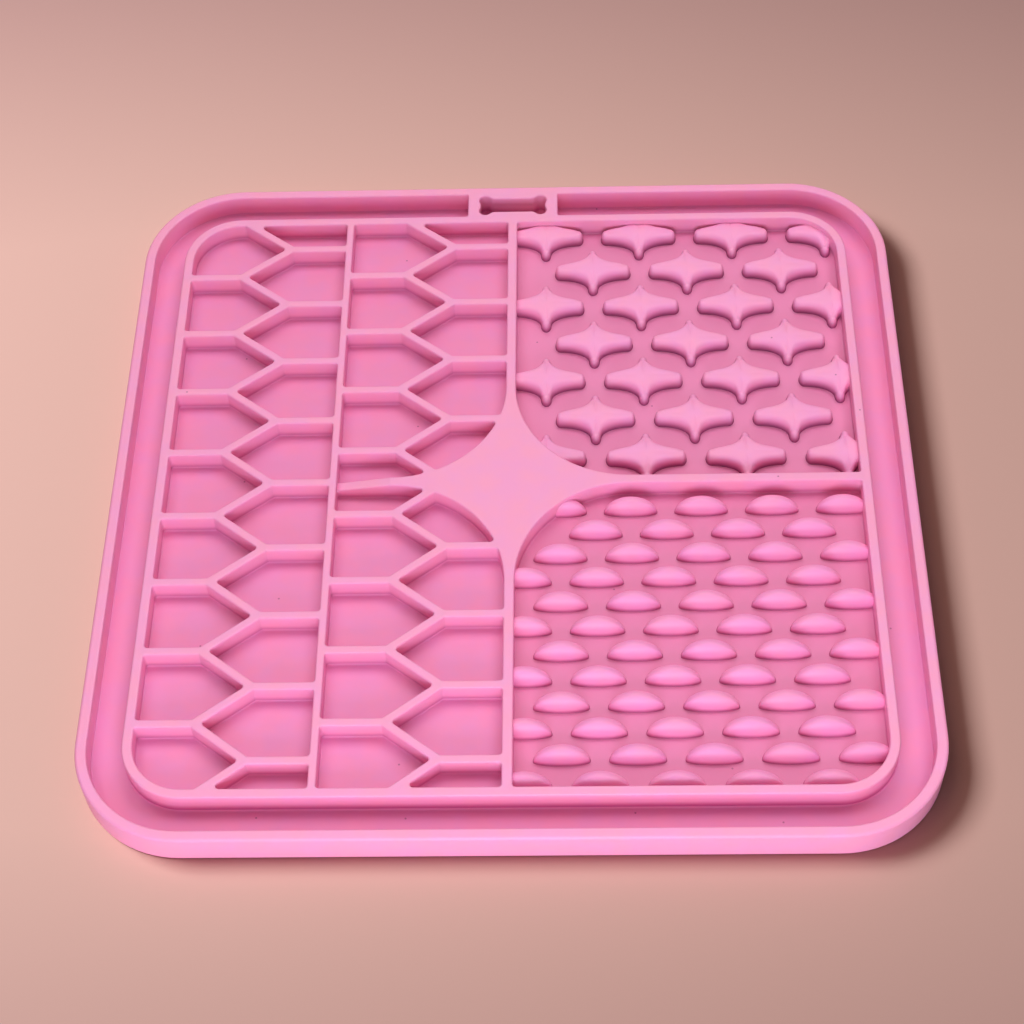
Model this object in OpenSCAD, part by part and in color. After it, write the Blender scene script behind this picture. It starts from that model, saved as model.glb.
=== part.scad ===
// Square lick mat moulded in soft silicone.
// A rim and a channel go round a square field, which walls divide into house-shaped
// cells on the left, puffy four-pointed stars at the back right and grains at the front right.
// The origin is under the middle of the mat, with +Y to the back, where the hanging hole is.

/* [Mat] */
// Side of the square mat
mat_side = 200; // [190:1:220]
// Full height of the rim and of all the walls
mat_h = 8.85; // [8:0.05:11]
// Outer radius of the mat's corners in plan
corner_r = 25.5; // [20:0.5:30]

/* [Floors] */
// Height of the channel's floor, which is also the depth of the solid ring under it
channel_floor_z = 2.75; // [2.6:0.05:3.4]
// Height of the field's floor
field_floor_z = 3.75; // [3.5:0.05:4.2]
// Thickness of the sheet that carries the field
sheet_t = 1.5; // [1.2:0.05:2]

/* [Rim and frame] */
// Width of the outer rim
rim_w = 2.7; // [2:0.1:3.5]
// Radius on the rim's outer top edge
rim_edge_r = 0.6; // [0.3:0.05:1]
// Width of the channel between the rim and the frame
channel_w = 8.1; // [7:0.1:9.5]
// Width of the frame round the field
frame_w = 2.4; // [1.8:0.1:3]

/* [Dividers] */
// Width of the walls that leave the centre star
divider_w = 2.5; // [2:0.1:3.2]
// Place of the centre star across the mat
star_x = -0.4; // [-2:0.1:2]
// Place of the centre star from front to back
star_y = -0.8; // [-2:0.1:2]
// Radius of the four hollow sides of the centre star
star_arc_r = 28.7; // [22:0.1:32]
// Place of the wall between the two columns of cells
column_x = -44.7; // [-48:0.1:-42]
// Width of that wall
column_w = 1.9; // [1.5:0.1:2.5]
// How far the star's left arm dips where it meets that wall
arm_drop = 2.4; // [1:0.1:3.5]
// Width of the left arm at that wall
arm_tip_w = 1.9; // [1.5:0.1:2.5]

/* [House cells] */
// Distance from one straight rib to the next along a column
cell_pitch = 19.7; // [17:0.1:22]
// Width of the ribs between the cells
rib_w = 2.1; // [1.5:0.1:2.6]
// Distance across the zigzag from corner to corner
zigzag_reach = 13; // [10:0.5:15]
// Radius of the cells' corners in plan
cell_corner_r = 0.75; // [0.4:0.05:1.2]

/* [Star bumps] */
// Distance between stars of one row
bump_pitch_x = 25.2; // [23:0.1:28]
// Distance between every second row of stars
bump_pitch_y = 25.2; // [23:0.1:28]
// Half of a star's length across the mat
bump_reach_x = 10.1; // [8:0.1:11]
// Half of a star's length from front to back
bump_reach_y = 7.1; // [6:0.1:8]
// Half of the width of the arms that run across the mat
bump_arm_x = 2.1; // [1.6:0.1:3]
// Half of the width of the arms that run from front to back
bump_arm_y = 1.5; // [1.2:0.1:2.4]
// Height of a star's middle above the floor
bump_h = 3.6; // [2.5:0.1:4.5]
// From the centre divider to the middle of the first star
bump_inset_x = 7.8; // [6:0.1:10]
// From the right divider to the middle of the first star
bump_inset_y = 8.1; // [7.25:0.05:10]

/* [Grain bumps] */
// Distance between grains of one row
grain_pitch_x = 17.5; // [15:0.1:20]
// Distance from one row of grains to the next
grain_pitch_y = 7; // [6.4:0.1:8]
// Half of a grain's length
grain_reach = 6.8; // [5:0.1:7.2]
// Half of a grain's width
grain_half_w = 2.65; // [2:0.05:3]
// Height of a grain above the floor
grain_h = 2.9; // [2:0.05:3.5]
// From the centre divider to the middle of the first grain of an odd row
grain_inset_x = 10.8; // [9:0.05:13]
// From the right divider to the middle of the first row
grain_inset_y = 4.35; // [3.5:0.05:6]

/* [Hanging tab] */
// Width of the bridge across the channel
tab_w = 24.6; // [22:0.1:30]
// Full length of the bone-shaped hole
bone_l = 18.4; // [16:0.1:20]
// Full width of the bone-shaped hole at its knobs
bone_w = 7; // [6:0.1:7.4]
// Width of the hole along its shank
shank_w = 4.85; // [4.2:0.05:5.4]
// Radius of the four knobs
knob_r = 1.65; // [1.3:0.05:1.9]
// Depth of the notch between two knobs
notch_d = 0.4; // [0.2:0.05:0.8]

/* [Suction cups] */
// Distance from one cup to the next
cup_pitch = 24; // [20:0.5:30]
// Radius of a cup's lip
cup_r = 7.5; // [6:0.1:9]
// Radius of the neck where a cup leaves the sheet
cup_neck_r = 4; // [3:0.1:5]
// Width of the flat lip
lip_w = 0.9; // [0.6:0.1:1.5]
// Depth of the hollow in a cup
cup_hollow = 1.4; // [0.8:0.05:1.5]

/* [Hidden] */

// Colours of the faces that catch the light, of the floors and of the underside
wall_pink = [0.98, 0.64, 0.81];
floor_pink = [0.9, 0.52, 0.69];
cup_pink = [0.94, 0.58, 0.76];

// How far a cutter runs past what it cuts
overrun = 0.5;
// A bump is left out where its middle lies deeper than this inside the centre star
bury_max = 2;
// Segments of a quarter turn on small rounded corners
corner_steps = 4;
// Segments along one hollow side and round one tip of a star bump
side_steps = 4;
tip_steps = 3;
// Rings from the foot of a star bump up to its spine, and the angle of the last one
ring_steps = 4;
ring_end = 84;
// Powers that draw the sides of a star bump in, at its foot and along its spine
star_power = 4;
spine_power = 6;
// Power of sine and cosine that rounds the arms over
section_power = 0.55;
// Shares of the height by which the spine has fallen at the ends of the long and the short arms
long_fall_share = 0.2;
short_fall_share = 0.22;
// Segments from one end of a grain to the other, and over its back
grain_steps = 8;
back_steps = 6;
// Where the zigzag's middle runs, as shares of each column's width
zigzag_shares = [0.488, 0.503];
// Facets of full circles
$fn = 64;

// Half sizes, measured from the middle of the mat and from the centre of a corner
half = mat_side / 2;
straight = half - corner_r;
rim_in_r = corner_r - rim_w;
frame_out_r = rim_in_r - channel_w;
field_r = frame_out_r - frame_w;
field_half = straight + field_r;
wall_h = mat_h - field_floor_z;

// Faces of the walls that bound the fields
star_reach = star_arc_r + divider_w / 2;
left_face = star_x - divider_w / 2;
right_face = star_x + divider_w / 2;
upper_face = star_y + divider_w / 2;
lower_face = star_y - divider_w / 2;
column_faces = [[-field_half, column_x - column_w / 2], [column_x + column_w / 2, left_face]];

// The zigzag's slope, and how far its ribs push the cells' corners back
zigzag_angle = atan2(cell_pitch / 2, zigzag_reach);
tip_set = rib_w / 2 / sin(zigzag_angle);
corner_set = rib_w / 2 * tan(zigzag_angle / 2);
cell_half = (cell_pitch - rib_w) / 2;
cell_rows = ceil(field_half / cell_pitch) + 1;

// The underside of the field's sheet, which the cups reach
sheet_z = field_floor_z - sheet_t;
cup_count = floor((field_half - cup_r) / cup_pitch);
hollow_r = cup_r - lip_w;
hollow_sphere_r = (hollow_r * hollow_r + cup_hollow * cup_hollow) / (2 * cup_hollow);

tab_y = straight + (rim_in_r + frame_out_r) / 2;

// Carries a profile round the rounded square. Its x is measured from the centre of a corner.
module swept_ring() {
    for (turn = [0:3]) rotate(90 * turn) translate([straight, straight]) {
        rotate_extrude(angle = 90) children();
        rotate([90, 0, 0]) linear_extrude(2 * straight) children();
    }
}

// The whole plan inside a rounded square whose corners have the radius r
module filled_square(r, low, high) {
    for (turn = [0:3]) rotate(90 * turn) translate([straight, straight, low])
        rotate_extrude(angle = 90) square([r, high - low]);
    translate([-straight - r, -straight, low]) cube([2 * (straight + r), 2 * straight, high - low]);
    translate([-straight, -straight - r, low]) cube([2 * straight, 2 * (straight + r), high - low]);
}

// A block with two opposite corners given
module block(low, high) {
    translate(low) cube(high - low);
}

// The four-pointed plan of the centre star
module star_plan() {
    translate([star_x, star_y]) difference() {
        square(2 * star_reach, center = true);
        for (x = [-1, 1], y = [-1, 1]) translate([x, y] * star_reach) circle(star_arc_r, $fn = 180);
    }
}

module star_prism(low, high) {
    translate([0, 0, low]) linear_extrude(high - low) star_plan();
}

module outer_rim() color(wall_pink) swept_ring() {
    polygon(concat(
        [[rim_in_r, 0], [corner_r, 0]],
        [for (i = [0:corner_steps]) let (a = 90 * i / corner_steps)
            [corner_r - rim_edge_r * (1 - cos(a)), mat_h - rim_edge_r * (1 - sin(a))]],
        [[rim_in_r, mat_h]]
    ));
}

module channel_base() color(floor_pink) difference() {
    swept_ring() translate([field_r, 0]) square([rim_in_r - field_r, channel_floor_z]);
    bone_prism(-overrun, channel_floor_z + overrun);
}

module inner_frame() color(wall_pink) swept_ring() {
    translate([field_r, channel_floor_z]) square([frame_w, mat_h - channel_floor_z]);
}

module floor_sheet() color(floor_pink) filled_square(field_r, sheet_z, field_floor_z);

// The bone-shaped hole: a shank, a bar that leaves a shallow notch, and four knobs
module bone_prism(low, high) {
    knob_x = bone_l / 2 - knob_r;
    knob_y = bone_w / 2 - knob_r;
    bar = [bone_l - 2 * notch_d, 2 * knob_y, high - low];
    shank = [2 * knob_x, shank_w, high - low];
    translate([star_x, tab_y, low]) {
        translate([-bar[0], -bar[1]] / 2) cube(bar);
        translate([-shank[0], -shank[1]] / 2) cube(shank);
        for (x = [-1, 1], y = [-1, 1]) translate([x * knob_x, y * knob_y]) cylinder(h = high - low, r = knob_r);
    }
}

module hanging_tab() color(wall_pink) difference() {
    block([star_x - tab_w / 2, straight + frame_out_r, channel_floor_z],
          [star_x + tab_w / 2, straight + rim_in_r, mat_h]);
    bone_prism(channel_floor_z - overrun, mat_h + overrun);
}

module centre_star() color(wall_pink) star_prism(field_floor_z, mat_h);

// The star's left arm narrows, and its top falls along an arc, to the wall between the columns
module sloping_arm() {
    start = star_x - star_reach;
    end = column_faces[1][0];
    run = start - end;
    fall_r = (run * run + arm_drop * arm_drop) / (2 * arm_drop);
    color(wall_pink) intersection() {
        translate([0, 0, field_floor_z]) linear_extrude(wall_h) polygon([
            [end, star_y - arm_tip_w / 2], [start, star_y - divider_w / 2],
            [start, star_y + divider_w / 2], [end, star_y + arm_tip_w / 2]
        ]);
        translate([start, star_y + divider_w, mat_h - fall_r]) rotate([90, 0, 0])
            cylinder(h = 2 * divider_w, r = fall_r, $fn = 180);
    }
}

module back_divider() color(wall_pink)
    block([left_face, star_y + star_reach, field_floor_z], [right_face, field_half, mat_h]);

module front_divider() color(wall_pink)
    block([left_face, -field_half, field_floor_z], [right_face, star_y - star_reach, mat_h]);

module right_divider() color(wall_pink)
    block([star_x + star_reach, lower_face, field_floor_z], [field_half, upper_face, mat_h]);

module column_divider() color(wall_pink)
    block([column_x - column_w / 2, -field_half, field_floor_z], [column_x + column_w / 2, field_half, mat_h]);

// Points of a convex outline, listed anticlockwise, with its corners rounded
function rounded(points, r) = [
    for (i = [0:len(points) - 1]) let (
        n = len(points),
        here = points[i],
        back = unit(points[(i + n - 1) % n] - here),
        on = unit(points[(i + 1) % n] - here),
        opening = acos(back * on),
        centre = here + unit(back + on) * r / sin(opening / 2),
        first = atan2(-back[0], back[1]) + 180,
        turn = 180 - opening
    ) for (s = [0:corner_steps]) centre + r * dir(first + turn * s / corner_steps)
];
function unit(v) = v / norm(v);
function dir(a) = [cos(a), sin(a)];

// Middles of the straight ribs: the left ones lie half a pitch off the right ones
function rib_y(side, k) = star_y + (k + (side == 0 ? 0.5 : 0)) * cell_pitch;
// A straight rib is made where it lies wholly inside the field
function rib_fits(y) = abs(y) + 1.5 * rib_w <= field_half;
function zigzag_x(column) = let (f = column_faces[column]) f[0] + (f[1] - f[0]) * zigzag_shares[column];

// One house-shaped cell with its roof towards the zigzag. Past the last rib it stays open.
module cell(column, side, y) {
    out = side == 0 ? -1 : 1;
    wall = column_faces[column][side];
    shoulder = zigzag_x(column) + out * (zigzag_reach / 2 + corner_set);
    tip = zigzag_x(column) - out * (zigzag_reach / 2 - tip_set);
    open_h = cell_pitch / 2 + rib_w;
    open_x = tip + out * open_h / tan(zigzag_angle);
    up = rib_fits(y + cell_pitch / 2) ? [shoulder, y + cell_half] : [open_x, y + open_h];
    down = rib_fits(y - cell_pitch / 2) ? [shoulder, y - cell_half] : [open_x, y - open_h];
    corners = [[wall, up[1]], [wall, down[1]], down, [tip, y], up];
    ordered = out < 0 ? corners : [for (i = [len(corners) - 1:-1:0]) corners[i]];
    polygon(rounded(ordered, cell_corner_r));
}

// All the ribs of a column: the strip between its walls, less the cells
module column_ribs(column) {
    faces = column_faces[column];
    difference() {
        translate([faces[0], -field_half]) square([faces[1] - faces[0], 2 * field_half]);
        for (k = [-cell_rows:cell_rows]) {
            cell(column, 0, rib_y(1, k));
            cell(column, 1, rib_y(0, k));
        }
    }
}

// The strips of a column that hold its straight ribs on one side
module straight_strips(column, side) {
    faces = column_faces[column];
    knee = zigzag_x(column) + (side == 0 ? -1 : 1) * zigzag_reach / 2;
    low = side == 0 ? faces[0] : knee;
    high = side == 0 ? knee : faces[1];
    for (k = [-cell_rows:cell_rows]) translate([low, rib_y(side, k) - cell_pitch / 4])
        square([high - low, cell_pitch / 2]);
}

// The strips that hold the slanting ribs: up from a left knee, or down from it
module slanting_strips(column, rising) {
    for (k = [-cell_rows:cell_rows])
        translate([zigzag_x(column) - zigzag_reach / 2, rib_y(0, k) - (rising ? 0 : cell_pitch / 2)])
            square([zigzag_reach, cell_pitch / 2]);
}

// One kind of rib in a column, kept inside the frame and clear of the star and its arm
module ribs(column) {
    color(wall_pink) difference() {
        intersection() {
            translate([0, 0, field_floor_z]) linear_extrude(wall_h) intersection() {
                column_ribs(column);
                children();
            }
            filled_square(field_r, field_floor_z, mat_h);
        }
        star_prism(sheet_z, mat_h + overrun);
    }
}

module outer_left_ribs() ribs(0) straight_strips(0, 0);
module outer_right_ribs() ribs(0) straight_strips(0, 1);
module outer_rising_ribs() ribs(0) slanting_strips(0, true);
module outer_falling_ribs() ribs(0) slanting_strips(0, false);
module inner_left_ribs() ribs(1) straight_strips(1, 0);
module inner_right_ribs() ribs(1) straight_strips(1, 1);
module inner_rising_ribs() ribs(1) slanting_strips(1, true);
module inner_falling_ribs() ribs(1) slanting_strips(1, false);

// How far a point lies inside the centre star, past its hollow side
function star_depth(p) = norm([
    min(0, abs(p[0] - star_x) - star_reach), min(0, abs(p[1] - star_y) - star_reach)
]) - star_arc_r;
// Middles of the bumps in a right-hand field: staggered rows that go away from the right divider
function bump_spots(first, pitch, away) = [
    for (row = [0:ceil(2 * field_half / pitch[1])], col = [-1:ceil(2 * field_half / pitch[0])]) let (
        x = right_face + first[0] + (col + (row % 2 == 0 ? 0 : 0.5)) * pitch[0],
        y = (away > 0 ? upper_face : lower_face) + away * (first[1] + row * pitch[1])
    ) if (x > right_face && x < field_half && abs(y) < field_half && star_depth([x, y]) < bury_max) [x, y]
];
star_spots = bump_spots([bump_inset_x, bump_inset_y], [bump_pitch_x, bump_pitch_y / 2], 1);
grain_spots = bump_spots([grain_inset_x, grain_inset_y], [grain_pitch_x, grain_pitch_y], -1);

// Whether a bump stays clear of the dividers, the frame and the centre star
function is_whole(p, reach) =
    p[0] - reach[0] > right_face && p[0] + reach[0] < field_half &&
    abs(p[1] - star_y) - reach[1] > divider_w / 2 && abs(p[1]) + reach[1] < field_half &&
    norm([max(0, p[0] - straight), max(0, abs(p[1]) - straight)]) + max(reach) < field_r &&
    star_depth(p) + max(reach) < 0;

// Sets a bump on each spot, and cuts off what would reach into a wall
module bumps(spots, reach) for (spot = spots) {
    low = spot[1] > star_y ? upper_face : -field_half;
    high = spot[1] > star_y ? field_half : lower_face;
    if (is_whole(spot, reach)) translate([spot[0], spot[1], field_floor_z]) children();
    else difference() {
        intersection() {
            translate([spot[0], spot[1], field_floor_z]) children();
            block([right_face, low, field_floor_z], [field_half, high, mat_h]);
            filled_square(field_r, field_floor_z, mat_h);
        }
        star_prism(sheet_z, mat_h + overrun);
    }
}

// Arms of a star bump from its middle to the centre of a rounded end
long_arm = bump_reach_x - bump_arm_y;
short_arm = bump_reach_y - bump_arm_x;

// One ring of a star bump. The foot is a four-pointed curve whose points follow powers of cosine
// and sine, pushed outwards by half the arms' widths. The spine is such a curve too, drawn in so
// far that it is nearly a cross, and it falls from the middle to the ends of the arms. A ring
// lies between the two, as far in and as high up as powers of the angle's cosine and sine.
function star_ring(angle) = let (
    wide = pow(cos(angle), section_power),
    up = bump_h * pow(sin(angle), section_power)
) [
    for (q = [0:3]) let (
        even = q % 2 == 0,
        a = even ? long_arm : short_arm,
        b = even ? short_arm : long_arm,
        out = even ? [bump_arm_y, bump_arm_x] : [bump_arm_x, bump_arm_y],
        fall = even ? [long_fall_share, short_fall_share] : [short_fall_share, long_fall_share]
    ) each concat(
        [for (i = [0:tip_steps]) let (t = -90 + 180 * i / tip_steps)
            turned(q, [a + out[0] * wide * cos(t), out[1] * wide * sin(t)], up * (1 - fall[0]))],
        [for (i = [1:side_steps - 1]) let (
            p = 90 * i / side_steps,
            normal = unit([b * pow(sin(p), star_power - 2), a * pow(cos(p), star_power - 2)]),
            foot = [a * pow(cos(p), star_power) + out[0] * normal[0], b * pow(sin(p), star_power) + out[1] * normal[1]],
            along = [pow(cos(p), spine_power), pow(sin(p), spine_power)],
            spine = [a * along[0], b * along[1]]
        ) turned(q, spine + (foot - spine) * wide, up * (1 - fall * along))]
    )
];
function turned(q, p, z) = [p[0] * cos(90 * q) - p[1] * sin(90 * q), p[0] * sin(90 * q) + p[1] * cos(90 * q), z];

// A star bump: rings from its foot to its spine, and a narrow roof up to its middle
module star_bump() {
    rings = [for (j = [0:ring_steps]) star_ring(ring_end * j / ring_steps)];
    n = len(rings[0]);
    points = concat([for (ring = rings) each ring], [[0, 0, 0], [0, 0, bump_h]]);
    faces = concat(
        [for (j = [0:ring_steps - 1], i = [0:n - 1]) let (a = j * n + i, b = j * n + (i + 1) % n)
            each [[a, a + n, b], [b, a + n, b + n]]],
        [for (i = [0:n - 1]) [len(points) - 2, i, (i + 1) % n]],
        [for (i = [0:n - 1]) [len(points) - 1, ring_steps * n + (i + 1) % n, ring_steps * n + i]]
    );
    polyhedron(points, faces, convexity = 4);
}

module star_bumps() color(wall_pink) bumps(star_spots, [bump_reach_x, bump_reach_y]) star_bump();

// A grain: the upper half of a long ellipsoid, as half rings from its left end to its right end
module grain_bump() {
    rings = [for (i = [1:grain_steps - 1], j = [0:back_steps]) let (
        a = 180 * i / grain_steps,
        b = 180 * j / back_steps
    ) [-grain_reach * cos(a), -grain_half_w * sin(a) * cos(b), grain_h * sin(a) * sin(b)]];
    points = concat(rings, [[-grain_reach, 0, 0], [grain_reach, 0, 0]]);
    n = back_steps + 1;
    last = (grain_steps - 2) * n;
    left = len(rings);
    right = left + 1;
    faces = concat(
        [for (i = [0:grain_steps - 3], j = [0:back_steps - 1]) let (a = i * n + j)
            each [[a, a + 1, a + n], [a + n, a + 1, a + n + 1]]],
        [for (j = [0:back_steps - 1]) each [[left, j + 1, j], [last + j, last + j + 1, right]]],
        [concat([left], [for (i = [0:grain_steps - 2]) i * n], [right],
            [for (i = [grain_steps - 2:-1:0]) i * n + back_steps])]
    );
    polyhedron(points, faces, convexity = 2);
}

module grain_bumps() color(wall_pink) bumps(grain_spots, [grain_reach, grain_half_w]) grain_bump();

// A cup: a cone that flares to its lip, hollowed from below by a large sphere
module suction_cup() difference() {
    cylinder(h = sheet_z, r1 = cup_r, r2 = cup_neck_r);
    translate([0, 0, cup_hollow - hollow_sphere_r]) sphere(hollow_sphere_r, $fn = 180);
}

module suction_cups() color(cup_pink)
    for (i = [-cup_count:cup_count], j = [-cup_count:cup_count])
        translate([i, j] * cup_pitch) suction_cup();

outer_rim();
channel_base();
inner_frame();
floor_sheet();
hanging_tab();
centre_star();
sloping_arm();
back_divider();
front_divider();
right_divider();
column_divider();
outer_left_ribs();
outer_right_ribs();
outer_rising_ribs();
outer_falling_ribs();
inner_left_ribs();
inner_right_ribs();
inner_rising_ribs();
inner_falling_ribs();
star_bumps();
grain_bumps();
suction_cups();
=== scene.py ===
"""A square lick mat of soft pink silicone, lying face up on a pale table.

The moulding is drawn as one plan, in millimetres. Its walls are what is left between pockets: the
channel, the house-shaped cells, two open fields and the bone-shaped hole. Every pocket is a closed
outline that carries an outward vector at each of its points, so a round edge or a fillet is a family
of outlines, each a little further out or in. The plan between them is cut into triangles once, and
each piece of the moulding raises its own share of the triangles to the heights that the distance
from the nearest pocket gives. Bumps and cups are surfaces of two parameters.
"""

from __future__ import annotations

import logging
import math
from dataclasses import dataclass
from enum import Enum

import bpy
import numpy as np
from mathutils import Matrix, Vector
from mathutils.geometry import delaunay_2d_cdt


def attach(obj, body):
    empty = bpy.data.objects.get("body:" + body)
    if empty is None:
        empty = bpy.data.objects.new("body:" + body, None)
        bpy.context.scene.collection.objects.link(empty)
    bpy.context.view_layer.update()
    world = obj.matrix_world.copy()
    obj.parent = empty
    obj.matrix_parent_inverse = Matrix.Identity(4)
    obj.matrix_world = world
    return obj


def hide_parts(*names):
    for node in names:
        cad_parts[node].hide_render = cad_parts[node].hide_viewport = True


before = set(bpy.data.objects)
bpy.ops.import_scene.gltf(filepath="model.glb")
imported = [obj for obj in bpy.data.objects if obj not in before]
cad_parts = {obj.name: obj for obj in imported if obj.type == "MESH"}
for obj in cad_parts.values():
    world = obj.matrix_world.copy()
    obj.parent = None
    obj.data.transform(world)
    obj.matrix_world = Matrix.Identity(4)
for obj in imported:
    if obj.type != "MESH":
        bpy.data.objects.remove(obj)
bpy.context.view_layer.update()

LOG = logging.getLogger("lick_mat")
MM = 0.001
BOTH_WAYS = (-1, 1)

# Lengths in millimetres: the widest band beside a wall that a round edge takes up, the flat strip kept
# past such an edge, the least width of a pocket's core, and how far under the floor a bump's skin
# starts and its closing point lies.
EDGE_REACH = 1.0
PAST_EDGE = 0.14
LEAST_CORE = 0.3
SKIN_START = 0.03
ROOT = 0.3

# What counts as nothing, in millimetres: an edge of a pocket's core, a gap between two points of the
# plan, and any other length or area.
NO_EDGE = 1e-4
NO_GAP = 2e-4
NOTHING = 1e-9

Array = np.ndarray
Colour = tuple[float, float, float]
Surface = tuple[np.ndarray, np.ndarray]
Socket = bpy.types.NodeSocket


class Side(Enum):
    """The side of a column that a cell or a straight rib starts from."""

    LEFT = 0
    RIGHT = 1


class Slant(Enum):
    """The two ways in which a zigzag rib runs, seen from left to right."""

    RISING = 0
    FALLING = 1


@dataclass(frozen=True)
class MatSizes:
    """Sizes of the moulding in millimetres, shared by all its pieces."""

    side: float = 200.0
    height: float = 8.85
    corner_radius: float = 25.5
    channel_floor: float = 2.75
    field_floor: float = 3.75
    sheet: float = 1.5
    rim_width: float = 2.7
    channel_width: float = 8.1
    frame_width: float = 2.4
    divider_width: float = 2.5
    star_x: float = -0.4
    star_y: float = -0.8
    star_arc: float = 28.7
    column_x: float = -44.7
    column_width: float = 1.9
    arm_drop: float = 2.4
    arm_tip_width: float = 1.9
    cell_pitch: float = 19.7
    rib_width: float = 2.1
    ribs_each_way: int = 5
    zigzag_reach: float = 13.0
    zigzag_shares: tuple[float, float] = (0.488, 0.503)
    pocket_corner: float = 0.75
    top_round: float = 0.42
    rim_round: float = 0.7
    foot_fillet: float = 0.35
    tab_width: float = 24.6

    @property
    def straight(self) -> float:
        """Half of the straight run between two corners."""
        return self.side / 2 - self.corner_radius

    @property
    def rim_inner(self) -> float:
        """Corner radius of the rim's inner face."""
        return self.corner_radius - self.rim_width

    @property
    def frame_outer(self) -> float:
        """Corner radius of the frame's outer face."""
        return self.rim_inner - self.channel_width

    @property
    def field_radius(self) -> float:
        """Corner radius of the frame's inner face."""
        return self.frame_outer - self.frame_width

    @property
    def field_half(self) -> float:
        """Half of the field's side."""
        return self.straight + self.field_radius

    @property
    def half_divider(self) -> float:
        """From the middle of a divider to its face."""
        return self.divider_width / 2

    @property
    def star_reach(self) -> float:
        """From the star's middle to the place where its arms have their full width."""
        return self.star_arc + self.half_divider

    @property
    def tab_y(self) -> float:
        """Middle of the channel at the back."""
        return self.straight + (self.rim_inner + self.frame_outer) / 2

    def column_faces(self, column: int) -> tuple[float, float]:
        """Left and right wall faces of a column of cells, counted from the left."""
        left, right = (self.column_x + way * self.column_width / 2 for way in BOTH_WAYS)
        return ((-self.field_half, left), (right, self.star_x - self.half_divider))[column]

    def zigzag_x(self, column: int) -> float:
        """The line about which a column's zigzag runs, at a share of the column's width."""
        left, right = self.column_faces(column)
        return left + (right - left) * self.zigzag_shares[column]

    def rib_rows(self, side: Side) -> list[float]:
        """Middles of the straight ribs: the left ones lie half a pitch off the right ones.

        Args:
            side: Side of the column that the ribs start from.

        Returns:
            Places up the plan, from well past the front of the field to well past its back.
        """
        shift = 0.5 if side is Side.LEFT else 0.0
        rows = range(-self.ribs_each_way, self.ribs_each_way + 1)
        return [self.star_y + (row + shift) * self.cell_pitch for row in rows]


@dataclass
class Outline:
    """A closed anticlockwise line in the plan, with a vector out of it at each point."""

    points: Array
    outward: Array

    @classmethod
    def of(cls, points: Array) -> Outline:
        """An outline whose outward vectors are the mitres of its corners."""
        return cls(points, mitres(points))

    def moved(self, distance: float) -> Array:
        """The points, moved outwards by a distance, or inwards where it is negative."""
        return self.points + distance * self.outward

    def near(self, spots: Array, margin: float) -> Array:
        """Which spots lie within a margin of the outline's box."""
        low, high = self.points.min(0) - margin, self.points.max(0) + margin
        return np.all((spots >= low) & (spots <= high), axis=1)

    def holds(self, spots: Array) -> Array:
        """Which spots lie inside, by the count of edges that a ray to the right crosses.

        Args:
            spots: Points of the plan, one a row.

        Returns:
            True or False for each spot.
        """
        inside = np.zeros(len(spots), bool)
        close = self.near(spots, 0.0)
        a, b = self.points, np.roll(self.points, -1, axis=0)
        x, y = spots[close, 0, None], spots[close, 1, None]
        spans = (a[:, 1] > y) != (b[:, 1] > y)
        rise = np.where(a[:, 1] == b[:, 1], 1.0, b[:, 1] - a[:, 1])
        crossing = a[:, 0] + (y - a[:, 1]) * (b[:, 0] - a[:, 0]) / rise
        inside[close] = np.sum(spans & (x < crossing), axis=1) % 2 == 1
        return inside

    def distance(self, spots: Array, reach: float) -> Array:
        """Distance from each spot to the line, or infinity past the reach.

        Each spot is dropped square onto every edge, held between the edge's ends, and the
        shortest way counts.

        Args:
            spots: Points of the plan, one a row.
            reach: How far from the line's box the distance is worked out.

        Returns:
            One distance for each spot.
        """
        found = np.full(len(spots), np.inf)
        close = self.near(spots, reach)
        a, edge = self.points, np.roll(self.points, -1, axis=0) - self.points
        gap = spots[close][:, None, :] - a
        share = np.clip(np.sum(gap * edge, 2) / np.maximum(np.sum(edge * edge, 1), 1e-12), 0, 1)
        found[close] = np.linalg.norm(gap - share[..., None] * edge, axis=2).min(axis=1)
        return found


def direction(degrees: Array | float) -> Array:
    """Unit vectors of the plan at angles from the X axis."""
    turn = np.radians(degrees)
    return np.stack([np.cos(turn), np.sin(turn)], axis=-1)


def edge_normals(polygon: Array) -> Array:
    """Outward unit normals of an anticlockwise polygon's edges: each edge turned right."""
    edge = np.roll(polygon, -1, axis=0) - polygon
    return np.stack([edge[:, 1], -edge[:, 0]], axis=1) / np.linalg.norm(edge, axis=1, keepdims=True)


def mitres(polygon: Array) -> Array:
    """Vectors that move both edges of each corner out by one.

    Each is the sum of the two edges' normals over one plus their product.

    Args:
        polygon: Corners, anticlockwise.

    Returns:
        One vector a corner.
    """
    after = edge_normals(polygon)
    before = np.roll(after, 1, axis=0)
    return (before + after) / (1 + np.sum(before * after, axis=1, keepdims=True))


def arcs(*parts: tuple[float, float, float, float, float, int]) -> Outline:
    """Joins arcs into one outline.

    A point is its arc's centre plus the radius along the angle. Where an arc turns left the
    way out of the outline is along the radius, and where it turns right it is against it.

    Args:
        *parts: Centre x and y, radius, first angle, turn in degrees, and number of steps.

    Returns:
        The closed outline, whose straight runs are the gaps between arcs.
    """
    points, outward = [], []
    for x, y, radius, first, turn, steps in parts:
        ray = direction(first + turn * np.linspace(0.0, 1.0, steps + 1))
        points.append(np.array([x, y]) + radius * ray)
        outward.append(ray * math.copysign(1.0, turn))
    return Outline(np.concatenate(points), np.concatenate(outward))


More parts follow.
